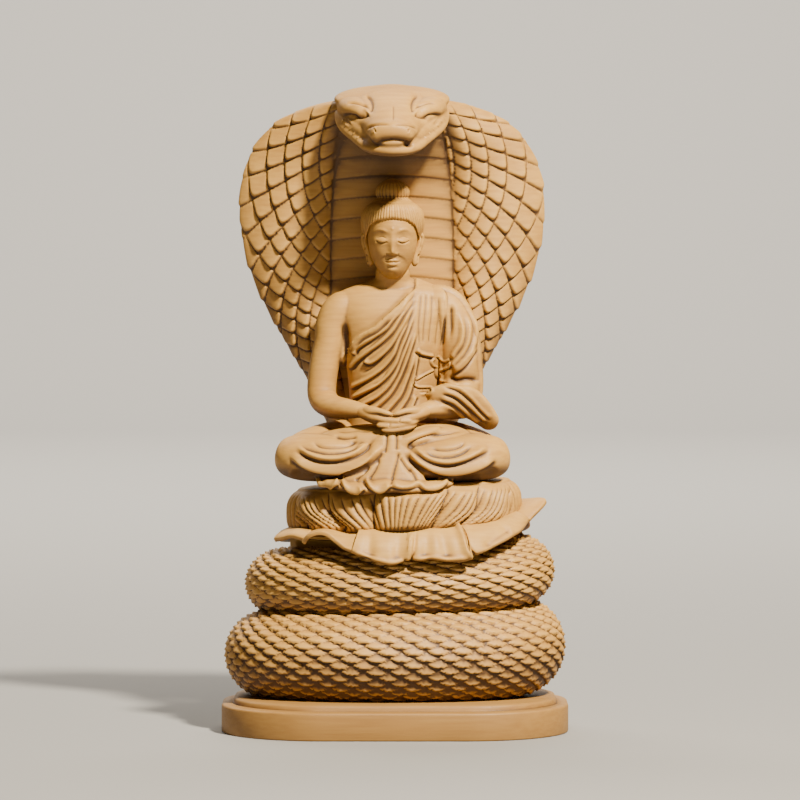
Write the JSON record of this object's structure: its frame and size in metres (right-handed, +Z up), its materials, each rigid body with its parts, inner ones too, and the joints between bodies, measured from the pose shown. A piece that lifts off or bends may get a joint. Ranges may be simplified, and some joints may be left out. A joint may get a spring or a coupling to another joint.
{
  "type": "naga buddha",
  "caption": "Carved wooden figure in meditation on a gathered cushion, borne by the coils of a cobra whose spread hood rises over its head, on a low moulded plinth.",
  "frame": {"origin": "middle of the plinth's underside", "axes": "+X to the viewer's right, +Y to the back, so that the figure faces -Y, +Z up"},
  "size_m": [0.1156, 0.082, 0.2154],
  "materials": {
    "carved_wood": "satin, darker in the hollows of the carving",
    "plinth_wood": "satin, with fine grain along its length"
  },
  "bodies": {
    "root": {"naga_buddha": "carved_wood", "plinth": "plinth_wood"}
  },
  "joints": []
}
